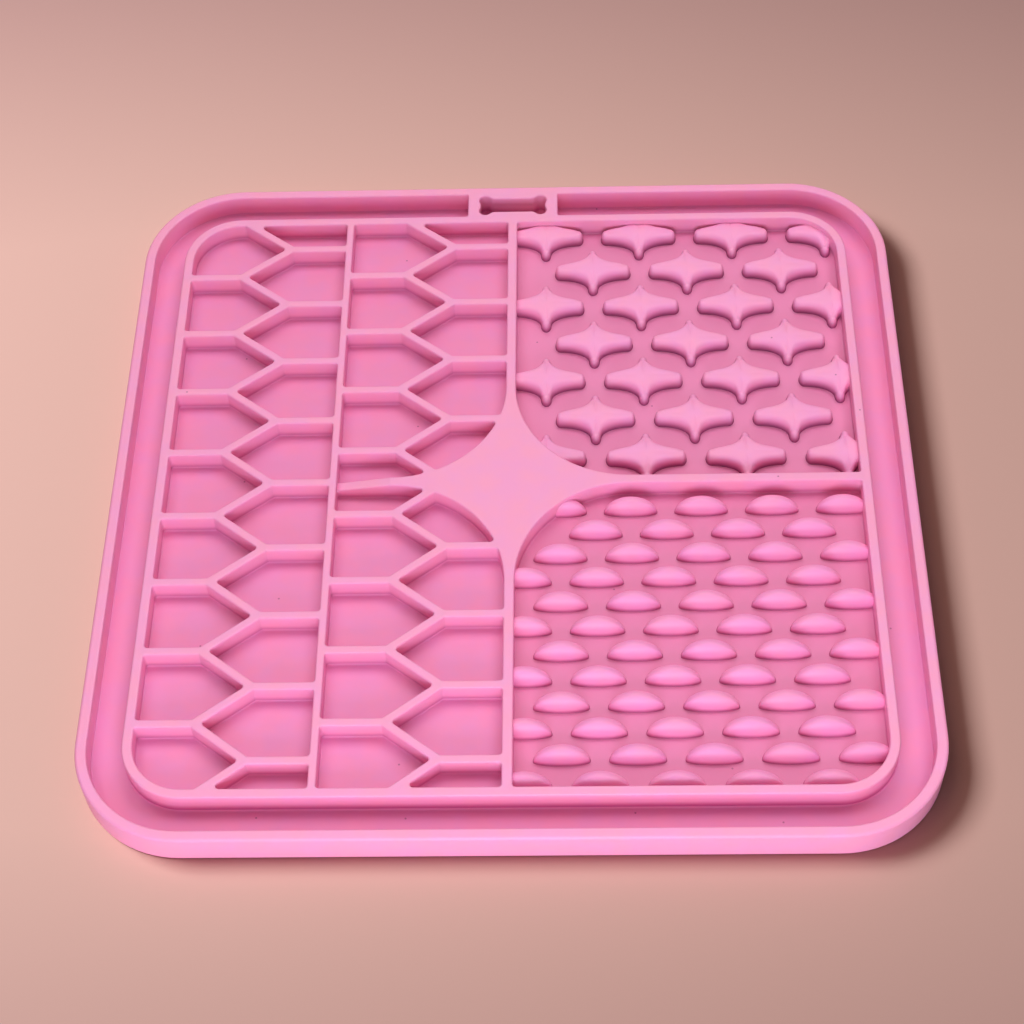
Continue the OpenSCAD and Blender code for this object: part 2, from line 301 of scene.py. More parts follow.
def rounded_square(straight: float, radius: float, steps: int) -> Outline:
    """A rounded square: four quarter circles about the corners of a square.

    Args:
        straight: Half of the straight run between two corners.
        radius: Radius of the corners.
        steps: Edges of each corner.

    Returns:
        The outline, whose outward vectors are the mitres of its corners.
    """
    corners = [(first, straight * math.sqrt(2) * direction(45 + first))
               for first in (0.0, 90.0, 180.0, 270.0)]
    return Outline.of(arcs(*[(x, y, radius, first, 90.0, steps) for first, (x, y) in corners]).points)


def clipped(polygon: Array, normal: Array, limit: float) -> Array:
    """The part of a convex polygon whose reach along a normal is at most a limit.

    Each corner inside is kept, and each edge that crosses the limit adds its crossing, which
    divides the edge as the two reaches do.

    Args:
        polygon: Corners, anticlockwise.
        normal: Unit vector out of the half plane that is kept.
        limit: Reach of the half plane along the normal.

    Returns:
        The corners that are left, which may be none.
    """
    if len(polygon) < 3:
        return polygon[:0]
    over = polygon @ normal - limit
    following = np.roll(over, -1)
    crosses = (over > 0) != (following > 0)
    share = np.where(crosses, over / np.where(crosses, over - following, 1.0), 0.0)
    crossing = polygon + share[:, None] * (np.roll(polygon, -1, axis=0) - polygon)
    both = np.stack([polygon, crossing], axis=1)
    return both[np.stack([over <= 0, crosses], axis=1)]


def soft_cornered(core: Array, radius: float, steps: int = 4, gentle: float = 16.0) -> Outline | None:
    """An outline one corner radius outside a convex core.

    A corner that turns a lot becomes an arc, whose points are the corner plus the radius along
    directions between its two edges' normals. A corner that barely turns, as along an arc that
    the core already follows, moves along its mitre instead.

    Args:
        core: Corners of the convex core, anticlockwise.
        radius: Radius of the outline's corners.
        steps: Edges of each rounded corner.
        gentle: Turn in degrees under which a corner keeps its mitre.

    Returns:
        The outline, or None where the core is too small to be a pocket.
    """
    core = core[np.linalg.norm(core - np.roll(core, 1, axis=0), axis=1) > NO_EDGE]
    if len(core) < 3 or np.ptp(core, axis=0).min() < LEAST_CORE:
        return None
    after = edge_normals(core)
    before = np.roll(after, 1, axis=0)
    first = np.degrees(np.arctan2(before[:, 1], before[:, 0]))
    turn = (np.degrees(np.arctan2(after[:, 1], after[:, 0])) - first) % 360
    turn = np.where(turn > 180, 0.0, turn)
    rays = direction(first[:, None] + turn[:, None] * np.linspace(0, 1, steps + 1))
    plain, middle = turn < gentle, steps // 2
    rays[plain, middle] = mitres(core)[plain]
    keep = ~plain[:, None] | (np.arange(steps + 1) == middle)
    base = np.repeat(core[:, None, :], steps + 1, axis=1)
    return Outline((base + radius * rays)[keep], rays[keep])


def rounding(distance: Array, radius: float) -> Array:
    """How far a round edge has dropped at a distance from its foot: radius less the circle."""
    inside = np.clip(radius - distance, 0.0, radius)
    return radius - np.sqrt(np.maximum(radius * radius - inside * inside, 0.0))


def round_steps(radius: float, steps: int = 4) -> list[float]:
    """Distances from a round edge's foot at equal turns of its quarter circle, and one past it."""
    turn = np.linspace(0.0, math.pi / 2, steps + 1)
    return [float(value) for value in radius * (1 - np.cos(turn))] + [radius + PAST_EDGE]


def cut_plan(lines: list[Array], seams: list[Array]) -> tuple[Array, Array, Array]:
    """Cuts a plan into anticlockwise triangles that follow every line given.

    Args:
        lines: Closed lines, as rows of points.
        seams: Open lines.

    Returns:
        The corners, the triangles as rows of corner numbers, and the middle of each triangle.
    """
    edges, count = [], 0
    for number, line in enumerate([*lines, *seams]):
        index = np.arange(count, count + len(line))
        joined = np.stack([index, np.roll(index, -1)], axis=1)
        edges.append(joined if number < len(lines) else joined[:-1])
        count += len(line)
    made = delaunay_2d_cdt([Vector(point) for point in np.concatenate([*lines, *seams]).tolist()],
                           [tuple(edge) for edge in np.concatenate(edges).tolist()], [], 0, NO_GAP)
    points = np.array([tuple(point) for point in made[0]], float)
    triangles = np.array([tuple(face) for face in made[2]], int)
    a, b, c = (points[triangles[:, i]] for i in range(3))
    area = (b[:, 0] - a[:, 0]) * (c[:, 1] - a[:, 1]) - (b[:, 1] - a[:, 1]) * (c[:, 0] - a[:, 0])
    triangles = np.where(area[:, None] < 0, triangles[:, ::-1], triangles)[np.abs(area) > NOTHING]
    return points, triangles, points[triangles].mean(axis=1)


def raised(points: Array, triangles: Array, top: Array, low: Array, lip: float = 0.3) -> Surface:
    """Raises triangles of a plan into a closed block.

    Every corner is used at its top height and again at its low height. An edge that only one
    triangle has is on the block's side, and gets two quads: a narrow one under the top edge,
    which keeps the shading of the round edge off the wall, and one down to the bottom.

    Args:
        points: Corners of the plan.
        triangles: Anticlockwise triangles, as rows of corner numbers.
        top: Top height at each corner.
        low: Bottom height at each corner.
        lip: Height of the narrow quad.

    Returns:
        The block's points and its triangles.
    """
    used, triangles = np.unique(triangles, return_inverse=True)
    triangles = triangles.reshape(-1, 3)
    points, top, low = points[used], top[used], low[used]
    count = len(used)
    edges = np.concatenate([triangles[:, [0, 1]], triangles[:, [1, 2]], triangles[:, [2, 0]]])
    alone = ~np.isin(edges[:, 0] * count + edges[:, 1], edges[:, 1] * count + edges[:, 0])
    a, b = edges[alone].T
    middle = np.maximum(top - lip, (top + low) / 2)
    layers = [np.column_stack([points, heights]) for heights in (top, low, middle)]
    quads = [(a + 2 * count, b + 2 * count, b, a), (a + count, b + count, b + 2 * count, a + 2 * count)]
    sides = [np.stack([p, q, r], axis=1) for w, x, y, z in quads for p, q, r in ((w, x, y), (w, y, z))]
    faces = np.concatenate([triangles, triangles[:, ::-1] + count, *sides])
    kept, faces = np.unique(faces, return_inverse=True)
    return np.concatenate(layers)[kept], faces.reshape(-1, 3)


def ring(line: Array, height: Array | float) -> Array:
    """A line of the plan, lifted to a height."""
    return np.column_stack([line, np.broadcast_to(height, len(line))])


def capped(rings: Array, low: float, high: float, middle: float = 0.0) -> Surface:
    """Closes a stack of anticlockwise rings, listed upwards, with a fan at each end.

    Args:
        rings: Points in rows, one ring a row.
        low: Height of the point that closes the first ring.
        high: Height of the point that closes the last ring.
        middle: Where on the Y axis both points lie.

    Returns:
        The points and the triangles of the closed surface.
    """
    rows, columns, _ = rings.shape
    row, column = np.meshgrid(np.arange(rows - 1) * columns, np.arange(columns), indexing="ij")
    a, b = (row + column).ravel(), (row + (column + 1) % columns).ravel()
    first = np.arange(columns)
    following, last = (first + 1) % columns, (rows - 1) * columns
    base, tip = np.full(columns, rows * columns), np.full(columns, rows * columns + 1)
    corners = [(a, b, b + columns), (a, b + columns, a + columns),
               (base, following, first), (first + last, following + last, tip)]
    ends = [[0.0, middle, low], [0.0, middle, high]]
    return np.concatenate([rings.reshape(-1, 3), ends]), np.concatenate([np.stack(c, 1) for c in corners])


def repeated(points: Array, faces: Array, spots: Array) -> Surface:
    """Copies of one mesh, one set down on each spot of the plan."""
    first = (np.arange(len(spots)) * len(points))[:, None, None]
    return (points[None] + ring(spots, 0.0)[:, None]).reshape(-1, 3), (faces[None] + first).reshape(-1, 3)


class Shading:
    """A material in the making, with short ways to add its nodes."""

    def __init__(self, name: str) -> None:
        """Starts from the plain material and the piece's own coordinates.

        Args:
            name: Name of the material.
        """
        self.material = bpy.data.materials.new(name)
        self.material.use_nodes = True
        self.nodes = self.material.node_tree.nodes
        self.place = self.add("TexCoord", {}).outputs["Object"]

    def feed(self, node: bpy.types.Node, inputs: dict[str, object]) -> None:
        """Sets or links inputs of a node.

        Args:
            node: The node.
            inputs: For an input's name, its value or the socket that feeds it.
        """
        for name, given in inputs.items():
            if isinstance(given, Socket):
                self.material.node_tree.links.new(given, node.inputs[name])
            else:
                node.inputs[name].default_value = given

    def add(self, kind: str, inputs: dict[str, object], **options: str) -> bpy.types.Node:
        """Adds a node.

        Args:
            kind: Type of the node, less the two words that all types start with.
            inputs: For an input's name, its value or the socket that feeds it.
            **options: Its other options, which are set first.

        Returns:
            The node.
        """
        node = self.nodes.new("ShaderNode" + kind)
        for name, option in options.items():
            setattr(node, name, option)
        self.feed(node, inputs)
        return node

    def noise(self, scale: float) -> Socket:
        """A noise on the piece's own coordinates."""
        return self.add("TexNoise", {"Vector": self.place, "Scale": scale, "Detail": 2.0}).outputs["Fac"]

    def mapped(self, value: Socket, span: tuple[float, float], to: tuple[float, float] = (0.0, 1.0),
               way: str = "LINEAR") -> Socket:
        """Maps a value from one span to another, along a line or by a smooth step."""
        ends = {"From Min": span[0], "From Max": span[1], "To Min": to[0], "To Max": to[1]}
        return self.add("MapRange", {"Value": value, **ends}, interpolation_type=way).outputs["Result"]

    def mixed(self, share: Socket, first: Colour | Socket, second: Colour | Socket) -> Socket:
        """Goes from a first colour to a second one by a share."""
        a, b = (end if isinstance(end, Socket) else (*end, 1.0) for end in (first, second))
        return self.add("Mix", {"Factor": share, "A": a, "B": b}, data_type="RGBA").outputs["Result"]

    def relief(self, height: Socket, strength: float, step: float, under: dict[str, Socket]) -> Socket:
        """A relief of a given step from a noise, over what relief there is under it."""
        inputs = {"Height": height, "Strength": strength, "Distance": step, **under}
        return self.add("Bump", inputs).outputs["Normal"]

    def finished(self, inputs: dict[str, object]) -> bpy.types.Material:
        """Feeds the surface shader and hands the material over."""
        self.feed(self.nodes["Principled BSDF"], inputs)
        return self.material


@dataclass(frozen=True)
class SiliconeFinish:
    """Soft pink silicone: a satin face over a body that light enters a little."""

    name: str
    light: Colour
    deep: Colour
    # Painted shade: the darker colour at the first end of the span along the axis.
    painted_shade: Colour = (0.60, 0.11, 0.31)
    axis: str = "Z"
    span: tuple[float, float] | None = None
    roughness: tuple[float, float] = (0.42, 0.54)
    cloud_scale: float = 150.0
    cloud_span: tuple[float, float] = (0.35, 0.65)
    wave_scale: float = 420.0
    wave_relief: tuple[float, float] = (0.12, 0.00010)
    grain_scale: float = 2600.0
    grain_relief: tuple[float, float] = (0.10, 0.00003)
    speck: Colour = (0.22, 0.04, 0.08)
    speck_scale: float = 24.0
    speck_edge: tuple[float, float] = (0.007, 0.004)
    speck_share: float = 0.55
    glow: float = 0.12
    glow_radii: Colour = (1.0, 0.35, 0.5)
    glow_depth: float = 0.0012
    specular: float = 0.5
    ior: float = 1.43

    def material(self) -> bpy.types.Material:
        """Builds the nodes.

        Broad noise, stretched to its full range, moves the colour between two pinks, and finer
        noise moves the roughness. Where a span is given, the colour is painted shade: it starts
        from a darker shade at the span's first end, such as the foot of a wall or a bump, and
        reaches its own pink by a smooth step at the other end. Specks of dust, less than a
        millimetre wide, lie round one random point in each square of some centimetres. The relief
        is a fine grain, as a blasted mould leaves, over a faint unevenness.

        Returns:
            The material.
        """
        made = Shading(self.name)
        waves = made.noise(self.wave_scale)
        clouds = made.mapped(made.noise(self.cloud_scale), self.cloud_span)
        tone = made.mixed(clouds, self.deep, self.light)
        # Painted shade, darker towards the span's first end, such as the foot of a wall or a bump.
        if self.span is not None:
            height = made.add("SeparateXYZ", {"Vector": made.place}).outputs[self.axis]
            span = (self.span[0] * MM, self.span[1] * MM)
            tone = made.mixed(made.mapped(height, span, way="SMOOTHSTEP"), self.painted_shade, tone)
        dust = made.add("TexVoronoi", {"Vector": made.place, "Scale": self.speck_scale},
                        voronoi_dimensions="2D").outputs["Distance"]
        near = made.mapped(dust, self.speck_edge, (0.0, self.speck_share))
        uneven = made.relief(waves, *self.wave_relief, {})
        return made.finished({
            "Base Color": made.mixed(near, tone, self.speck),
            "Roughness": made.mapped(waves, (0.0, 1.0), self.roughness),
            "Normal": made.relief(made.noise(self.grain_scale), *self.grain_relief, {"Normal": uneven}),
            "Subsurface Weight": self.glow,
            "Subsurface Radius": self.glow_radii,
            "Subsurface Scale": self.glow_depth,
            "Specular IOR Level": self.specular,
            "IOR": self.ior,
        })


@dataclass
class Moulder:
    """Turns points and triangles into finished pieces of the frame."""

    sizes: MatSizes
    count: int = 0

    def __post_init__(self) -> None:
        """Mixes the pinks of the rim, the channel, the sheet, the walls on it and both kinds of bumps."""
        foot, middle = self.sizes.field_floor, self.sizes.star_x
        bright, dim = (0.935, 0.325, 0.515), (0.905, 0.320, 0.560)
        rim = SiliconeFinish("rim_silicone", bright, dim).material()
        # Painted shade: the walls are darker towards their feet, from 0.6 mm under the field's floor to 2
        # mm over it.
        self.wall = SiliconeFinish("wall_silicone", bright, dim, span=(foot - 0.6, foot + 2.0)).material()
        self.others = {
            "outer_rim": rim,
            "suction_cups": rim,
            "channel_base": SiliconeFinish(
                "channel_silicone", (0.86, 0.240, 0.465), (0.82, 0.242, 0.505)).material(),
            # Painted shade: the sheet darkens across the centre divider, on the side of the star and
            # grain bumps.
            "floor_sheet": SiliconeFinish(
                "sheet_silicone", (0.89, 0.253, 0.485), (0.85, 0.257, 0.525), (0.82, 0.225, 0.44),
                "X", (middle + 1, middle - 1)).material(),
            # Painted shade: the stars are darker towards their feet, up to 2.8 mm over the floor.
            "star_bumps": SiliconeFinish(
                "star_silicone", (0.96, 0.330, 0.55), (0.93, 0.325, 0.60), (0.30, 0.03, 0.13),
                span=(foot - 0.4, foot + 2.8)).material(),
            # Painted shade: the grains are darker towards their feet, up to 1.3 mm over the floor.
            "grain_bumps": SiliconeFinish(
                "grain_silicone", (0.97, 0.315, 0.55), (0.94, 0.310, 0.60), (0.50, 0.06, 0.20),
                span=(foot - 0.4, foot + 1.3)).material(),
        }

    def piece(self, node: str, points: Array, faces: Array, crease: float = 38.0) -> None:
        """Makes the piece that stands for a node of the frame.

        Args:
            node: Name of the node.
            points: Points in millimetres.
            faces: Triangles, as rows of point numbers.
            crease: Angle in degrees past which an edge stays sharp.
        """
        mesh = bpy.data.meshes.new(node + "_moulded")
        mesh.from_pydata((points * MM).tolist(), [], faces.tolist())
        mesh.validate()
        mesh.shade_smooth()
        mesh.set_sharp_from_angle(angle=math.radians(crease))
        mesh.update()
        mesh.materials.append(self.others.get(node, self.wall))
        piece = bpy.data.objects.new(node + "_moulded", mesh)
        bpy.context.scene.collection.objects.link(piece)
        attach(piece, "root")
        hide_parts(node)
        self.count += 1
        LOG.info("%s: %d triangles", piece.name, len(mesh.polygons))


@dataclass
class Pockets:
    """Every hollow of the moulding and the faces between its pieces, as outlines in the plan."""

    sizes: MatSizes
    edge_steps: int = 20
    rim_steps: int = 18
    frame_steps: int = 14
    field_steps: int = 12
    star_steps: int = 24

    def __post_init__(self) -> None:
        """Works out the outlines once."""
        s = self.sizes
        self.edge = rounded_square(s.straight, s.corner_radius, self.edge_steps)
        self.rim_face = rounded_square(s.straight, s.rim_inner, self.rim_steps)
        self.frame_face = rounded_square(s.straight, s.frame_outer, self.frame_steps)
        self.field_face = rounded_square(s.straight, s.field_radius, self.field_steps)
        corners = ((1, 1), (-1, 1), (-1, -1), (1, -1))
        self.star = Outline.of(np.concatenate([self._star_side(x, y)[::-x * y] for x, y in corners]))
        self.channel = self._channel()
        self.hole = BoneHole(s).outline()
        self.cells = self._cells()

    @property
    def all(self) -> list[Outline]:
        """All the hollows."""
        return [self.channel, self.hole, *self.cells]

    def _channel(self) -> Outline:
        """The channel: round inside the rim, past the tab, and back round the frame.

        Returns:
            The outline.
        """
        s = self.sizes
        k, c = s.straight, s.pocket_corner
        left, right = s.star_x - s.tab_width / 2 - c, s.star_x + s.tab_width / 2 + c
        back, front = k + s.rim_inner - c, k + s.frame_outer + c
        corners = ((-k, k), (-k, -k), (k, -k), (k, k))
        rim = zip(corners, (90, 180, 270, 0))
        frame_corners = zip(corners[::-1], (90, 0, -90, 180))
        return arcs(
            *[(x, y, s.rim_inner, first, 90, self.rim_steps) for (x, y), first in rim],
            (right, back, c, 90, 90, 4), (right, front, c, 180, 90, 4),
            *[(x, y, s.frame_outer, first, -90, self.frame_steps) for (x, y), first in frame_corners],
            (left, front, c, 270, 90, 4), (left, back, c, 0, 90, 4),
        )

    def _star_side(self, across: int, away: int) -> Array:
        """One hollow side of the centre star, a quarter circle about a point one reach out both ways.

        Args:
            across: 1 for the right and -1 for the left.
            away: 1 for the back and -1 for the front.

        Returns:
            Points from the divider at the back or front to the wall on the left or right.
        """
        s = self.sizes
        turn = 180 + 90 * np.linspace(0.0, 1.0, self.star_steps + 1)
        arc = s.star_reach + s.star_arc * direction(turn)
        return arc * [across, away] + [s.star_x, s.star_y]

    def _quadrant(self, across: int, away: int) -> Outline:
        """The open region in one quarter round the centre star, with far sides well past the field.

        Args:
            across: 1 for the right and -1 for the left.
            away: 1 for the back and -1 for the front.

        Returns:
            The outline.
        """
        s = self.sizes
        wall, far = s.half_divider, 2 * s.field_half
        corners = np.array([[far, wall], [far, far], [wall, far]]) * [across, away] + [s.star_x, s.star_y]
        return Outline.of(np.concatenate([self._star_side(across, away), corners])[::across * away])

    def _pocket(self, limits: list[tuple[Array, float]], region: Outline | None = None) -> Outline | None:
        """A pocket of the field: what half planes and a convex region leave, with round corners.

        Args:
            limits: Normal of each half plane, and its reach along the normal.
            region: The convex region.

        Returns:
            The pocket, or None where it is too small to be one.
        """
        inset = self.sizes.pocket_corner
        core = self.field_face.moved(-inset)
        for normal, limit in limits:
            core = clipped(core, normal, limit - inset)
        if region is not None:
            other = region.moved(-inset)
            for corner, normal in zip(other, edge_normals(other)):
                if len(core) and np.max((core - corner) @ normal) > NOTHING:
                    core = clipped(core, normal, float(corner @ normal))
        return soft_cornered(core, inset)

    def _cells(self) -> list[Outline]:
        """The house-shaped cells, each level with a rib of its column's other side, and the open fields.

        Returns:
            The outlines.
        """
        made = []
        for column in (0, 1):
            for side in Side:
                for y in self.sizes.rib_rows(Side(1 - side.value)):
                    made += self._cell(column, side, y)
        made += [self._pocket([], self._quadrant(1, away)) for away in (1, -1)]
        return [outline for outline in made if outline is not None]

    def _cell(self, column: int, side: Side, y: float) -> list[Outline | None]:
        """One house-shaped cell, in two parts where the star's arm runs through it.

        Its roof is two half planes that lie half a rib inside the zigzag's lines.

        Args:
            column: Number of the column from the left.
            side: Side of the wall that the cell's floor starts from.
            y: Middle of the cell.

        Returns:
            The cell's outlines.
        """
        s = self.sizes
        out = -1.0 if side is Side.LEFT else 1.0
        tip = np.array([s.zigzag_x(column) - out * s.zigzag_reach / 2, y])
        reach = (s.cell_pitch - s.rib_width) / 2
        limits = [(np.array([out, 0.0]), out * s.column_faces(column)[side.value]),
                  (np.array([0.0, 1.0]), y + reach), (np.array([0.0, -1.0]), reach - y)]
        for away in (1.0, -1.0):
            normal = np.array([-out * s.cell_pitch / 2, away * s.zigzag_reach])
            normal /= np.linalg.norm(normal)
            limits.append((normal, float(normal @ tip) - s.rib_width / 2))
        if column == 0:
            return [self._pocket(limits)]
        start = s.star_x - s.star_reach
        slope = math.atan2((s.divider_width - s.arm_tip_width) / 2, start - s.column_faces(1)[0])
        parts = []
        for away in (1, -1):
            normal = np.array([math.sin(slope), -away * math.cos(slope)])
            limit = float(normal @ [start, s.star_y + away * s.half_divider])
            parts.append(self._pocket([*limits, (normal, limit)], self._quadrant(-1, away)))
        return parts


@dataclass
class BoneHole:
    """The bone-shaped hanging hole."""

    sizes: MatSizes
    length: float = 18.4
    width: float = 7.0
    shank: float = 4.85
    knob: float = 1.65
    notch: float = 0.4
    neck: float = 2.0

    def outline(self) -> Outline:
        """Four knobs, joined by hollow arcs that touch them: two necks and two notches.

        A neck's centre lies its radius above the shank and a knob's plus a neck's radius from
        the knob's centre. A notch's centre lies on the long axis, by the same rule. The second
        half of the outline is the first one, turned by half a turn.

        Returns:
            The outline, anticlockwise.
        """
        x, y = self.length / 2 - self.knob, self.width / 2 - self.knob
        rise = self.shank / 2 + self.neck - y
        run = math.sqrt((self.knob + self.neck) ** 2 - rise ** 2)
        neck_x, neck_y = x - run, self.shank / 2 + self.neck
        lean = math.degrees(math.atan2(rise, -run))
        dip = self.length / 2 - self.notch - x
        notch = (dip ** 2 + y ** 2 - self.knob ** 2) / (2 * (self.knob - dip))
        notch_x = x + dip + notch
        tilt = math.degrees(math.atan2(y, notch_x - x))
        half = [
            (x, y, self.knob, -tilt, lean + tilt, 10),
            (neck_x, neck_y, self.neck, lean - 180, 90 - lean, 4),
            (-neck_x, neck_y, self.neck, -90, 90 - lean, 4),
            (-x, y, self.knob, 180 - lean, lean + tilt, 10),
            (-notch_x, 0.0, notch, tilt, -2 * tilt, 6),
        ]
        cx, cy = self.sizes.star_x, self.sizes.tab_y
        return arcs(*[(cx + way * across, cy + way * away, radius, first + (1 - way) * 90, turn, steps)
                      for way in (1, -1) for across, away, radius, first, turn, steps in half])


@dataclass
class Walls:
    """Rim, frame, tab, star, dividers and ribs: all that stands up to the mat's full height.

    Over the tip length beside the column wall, the sloping arm takes in the round corners next to
    it. The lines that shape its end reach the tip's half width to both sides of its middle.
    """

    sizes: MatSizes
    pockets: Pockets
    tip_half_width: float = 2.5
    tip_length: float = 1.2

    def build(self, moulder: Moulder) -> None:
        """Cuts the plan once and raises each piece from its share of the triangles.

        Args:
            moulder: Makes the pieces.
        """
        s, pockets = self.sizes, self.pockets
        points, triangles, middles = cut_plan(self._lines(), self._seams())
        solid = pockets.edge.holds(middles)
        gap = np.full(len(points), np.inf)
        for pocket in pockets.all:
            solid &= ~pocket.holds(middles)
            gap = np.minimum(gap, pocket.distance(points, EDGE_REACH))
        under = rounding(pockets.edge.distance(points, EDGE_REACH), s.rim_round)
        top = s.height - rounding(gap, s.top_round) - under
        tops = {"sloping_arm": top - self._arm_fall(points[:, 0]),
                "column_divider": np.minimum(top, self._divider_end(points))}
        channel_level, field_level = np.full(len(top), s.channel_floor), np.full(len(top), s.field_floor)
        lows = {"outer_rim": under, "hanging_tab": channel_level, "inner_frame": channel_level}
        for name, share in self._shares(middles).items():
            height, low = tops.get(name, top), lows.get(name, field_level)
            moulder.piece(name, *raised(points, triangles[solid & share], height, low))

    def _lines(self) -> list[Array]:
        """Every outline with its round edge, the faces of rim and frame, and the star.

        Returns:
            The points of each closed line.
        """
        s, pockets = self.sizes, self.pockets
        lines = [pocket.moved(step) for pocket in pockets.all for step in round_steps(s.top_round)]
        lines += [pockets.edge.moved(-step) for step in round_steps(s.rim_round)]
        faces = (pockets.rim_face, pockets.frame_face, pockets.field_face, pockets.star)
        return lines + [face.points for face in faces]

    def _seams(self) -> list[Array]:
        """The straight lines along which pieces part, and those of the round edge over the arm's tip.

        Returns:
            The two ends of each line.
        """
        s = self.sizes
        half, knee, tip = s.field_half, s.zigzag_reach / 2, self.tip_half_width
        post_faces, right_faces, tab_faces, column_faces = (
            [middle + way * width / 2 for way in BOTH_WAYS] for middle, width in (
                (s.star_x, s.divider_width), (s.star_y, s.divider_width),
                (s.star_x, s.tab_width), (s.column_x, s.column_width)))
        arm_lines = [s.column_faces(1)[0] - step for step in round_steps(s.top_round)[1:]]
        seams = [((x, y * half), (x, s.star_y + y * s.star_reach)) for x in post_faces for y in BOTH_WAYS]
        seams += [((s.star_x + s.star_reach, y), (half, y)) for y in right_faces]
        seams += [((x, s.straight + s.frame_outer), (x, s.straight + s.rim_inner)) for x in tab_faces]
        seams += [((x, -half), (x, half)) for x in column_faces]
        seams += [((x, s.star_y - tip), (x, s.star_y + tip)) for x in arm_lines]
        for middle in (s.zigzag_x(0), s.zigzag_x(1)):
            seams += [((middle + x * knee, -half), (middle + x * knee, half)) for x in BOTH_WAYS]
            seams += [((middle - knee, y), (middle + knee, y))
                      for side in Side for y in s.rib_rows(side) if abs(y) < half]
        return [np.array(seam) for seam in seams]

    def _arm_fall(self, x: Array) -> Array:
        """Drop of the left arm's top: an arc that leaves the star level and meets the column wall low.

        Args:
            x: Places across the mat.

        Returns:
            The drop at each place: the arc's radius less the height of the circle.
        """
        s = self.sizes
        start, end = s.star_x - s.star_reach, s.column_faces(1)[0]
        run = start - end
        radius = (run * run + s.arm_drop ** 2) / (2 * s.arm_drop)
        along = np.clip(start - x, 0.0, run)
        return radius - np.sqrt(radius * radius - along * along)

    def _divider_end(self, points: Array) -> Array:
        """Top of the column wall's round edge where the low arm leaves it bare.

        Args:
            points: Corners of the plan.

        Returns:
            The height at each corner.
        """
        s = self.sizes
        beside = np.abs(points[:, 1] - s.star_y) < s.arm_tip_width / 2 + s.pocket_corner
        gap = np.where(beside, np.abs(s.column_faces(1)[0] - points[:, 0]), np.inf)
        return s.height - rounding(gap, s.top_round)

    def _shares(self, middles: Array) -> dict[str, Array]:
        """Which triangles of the plan belong to which piece.

        Args:
            middles: Middle of each triangle.

        Returns:
            For each piece's name, True or False for each triangle.
        """
        s, pockets = self.sizes, self.pockets
        faces = (pockets.rim_face, pockets.frame_face, pockets.field_face, pockets.star)
        in_rim, in_frame, in_field, star = (face.holds(middles) for face in faces)
        x, y = middles.T
        across, away = x - s.star_x, y - s.star_y
        post = in_field & (np.abs(across) < s.half_divider) & ~star
        column = in_field & (np.abs(x - s.column_x) < s.column_width / 2)
        rest = in_field & ~star & ~post & ~column
        start = s.column_faces(1)[0]
        half_width = np.where(x < start + self.tip_length, s.divider_width, s.half_divider + 0.01)
        arm = rest & (x > start) & (across < -s.star_reach) & (np.abs(away) < half_width)
        shares = {
            "outer_rim": ~in_rim,
            "hanging_tab": in_rim & ~in_frame & (np.abs(across) < s.tab_width / 2) & (y > 0),
            "inner_frame": in_frame & ~in_field,
            "centre_star": in_field & star & ~column,
            "back_divider": post & (away > 0),
            "front_divider": post & (away < 0),
            "right_divider": rest & (across > 0),
            "column_divider": column,
            "sloping_arm": arm,
        }
        knee, falling = s.zigzag_reach / 2, (away / s.cell_pitch) % 1.0 < 0.5
        for number, name in enumerate(("outer", "inner")):
            ribs = rest & ~arm & (across < 0) & ((x > s.column_x) == bool(number))
            aside = x - s.zigzag_x(number)
            shares[name + "_left_ribs"] = ribs & (aside < -knee)
            shares[name + "_right_ribs"] = ribs & (aside > knee)
            for slant in Slant:
                kind = falling == (slant is Slant.FALLING)
                shares[f"{name}_{slant.name.lower()}_ribs"] = ribs & (np.abs(aside) < knee) & kind
        return shares


@dataclass
class Floors:
    """The channel's floor and the sheet that carries the field, with fillets up to the walls."""

    sizes: MatSizes
    pockets: Pockets

    def build(self, moulder: Moulder) -> None:
        """Makes the sheet under the field and the ring under the channel.

        Args:
            moulder: Makes the pieces.
        """
        s, pockets = self.sizes, self.pockets
        sheet = self._floor(pockets.cells, s.field_floor, s.field_floor - s.sheet, pockets.field_face)
        moulder.piece("floor_sheet", *sheet)
        base = self._floor([pockets.channel], s.channel_floor, 0.0,
                           pockets.rim_face, pockets.field_face, pockets.hole)
        moulder.piece("channel_base", *base)

    def _floor(self, pockets: list[Outline], level: float, low: float,
               outer: Outline, *gaps: Outline) -> Surface:
        """One floor, whose height over its level is the fillet's rise at the distance from a wall.

        Args:
            pockets: Outlines of the hollows that the floor closes.
            level: Height of the floor.
            low: Height of its underside.
            outer: Outer edge of the floor.
            *gaps: Openings in the floor.

        Returns:
            The floor's points and triangles.
        """
        fillet = self.sizes.foot_fillet
        lines = [pocket.moved(-step) for pocket in pockets for step in round_steps(fillet)]
        points, triangles, middles = cut_plan(lines + [line.points for line in (outer, *gaps)], [])
        share = outer.holds(middles)
        for opening in gaps:
            share &= ~opening.holds(middles)
        gap = np.zeros(len(points))
        for pocket in pockets:
            within = pocket.holds(points)
            gap[within] = pocket.distance(points, 0.0)[within]
        top, bottom = level + rounding(gap, fillet), np.full(len(points), low)
        return raised(points, triangles[share], top, bottom, lip=0.1)


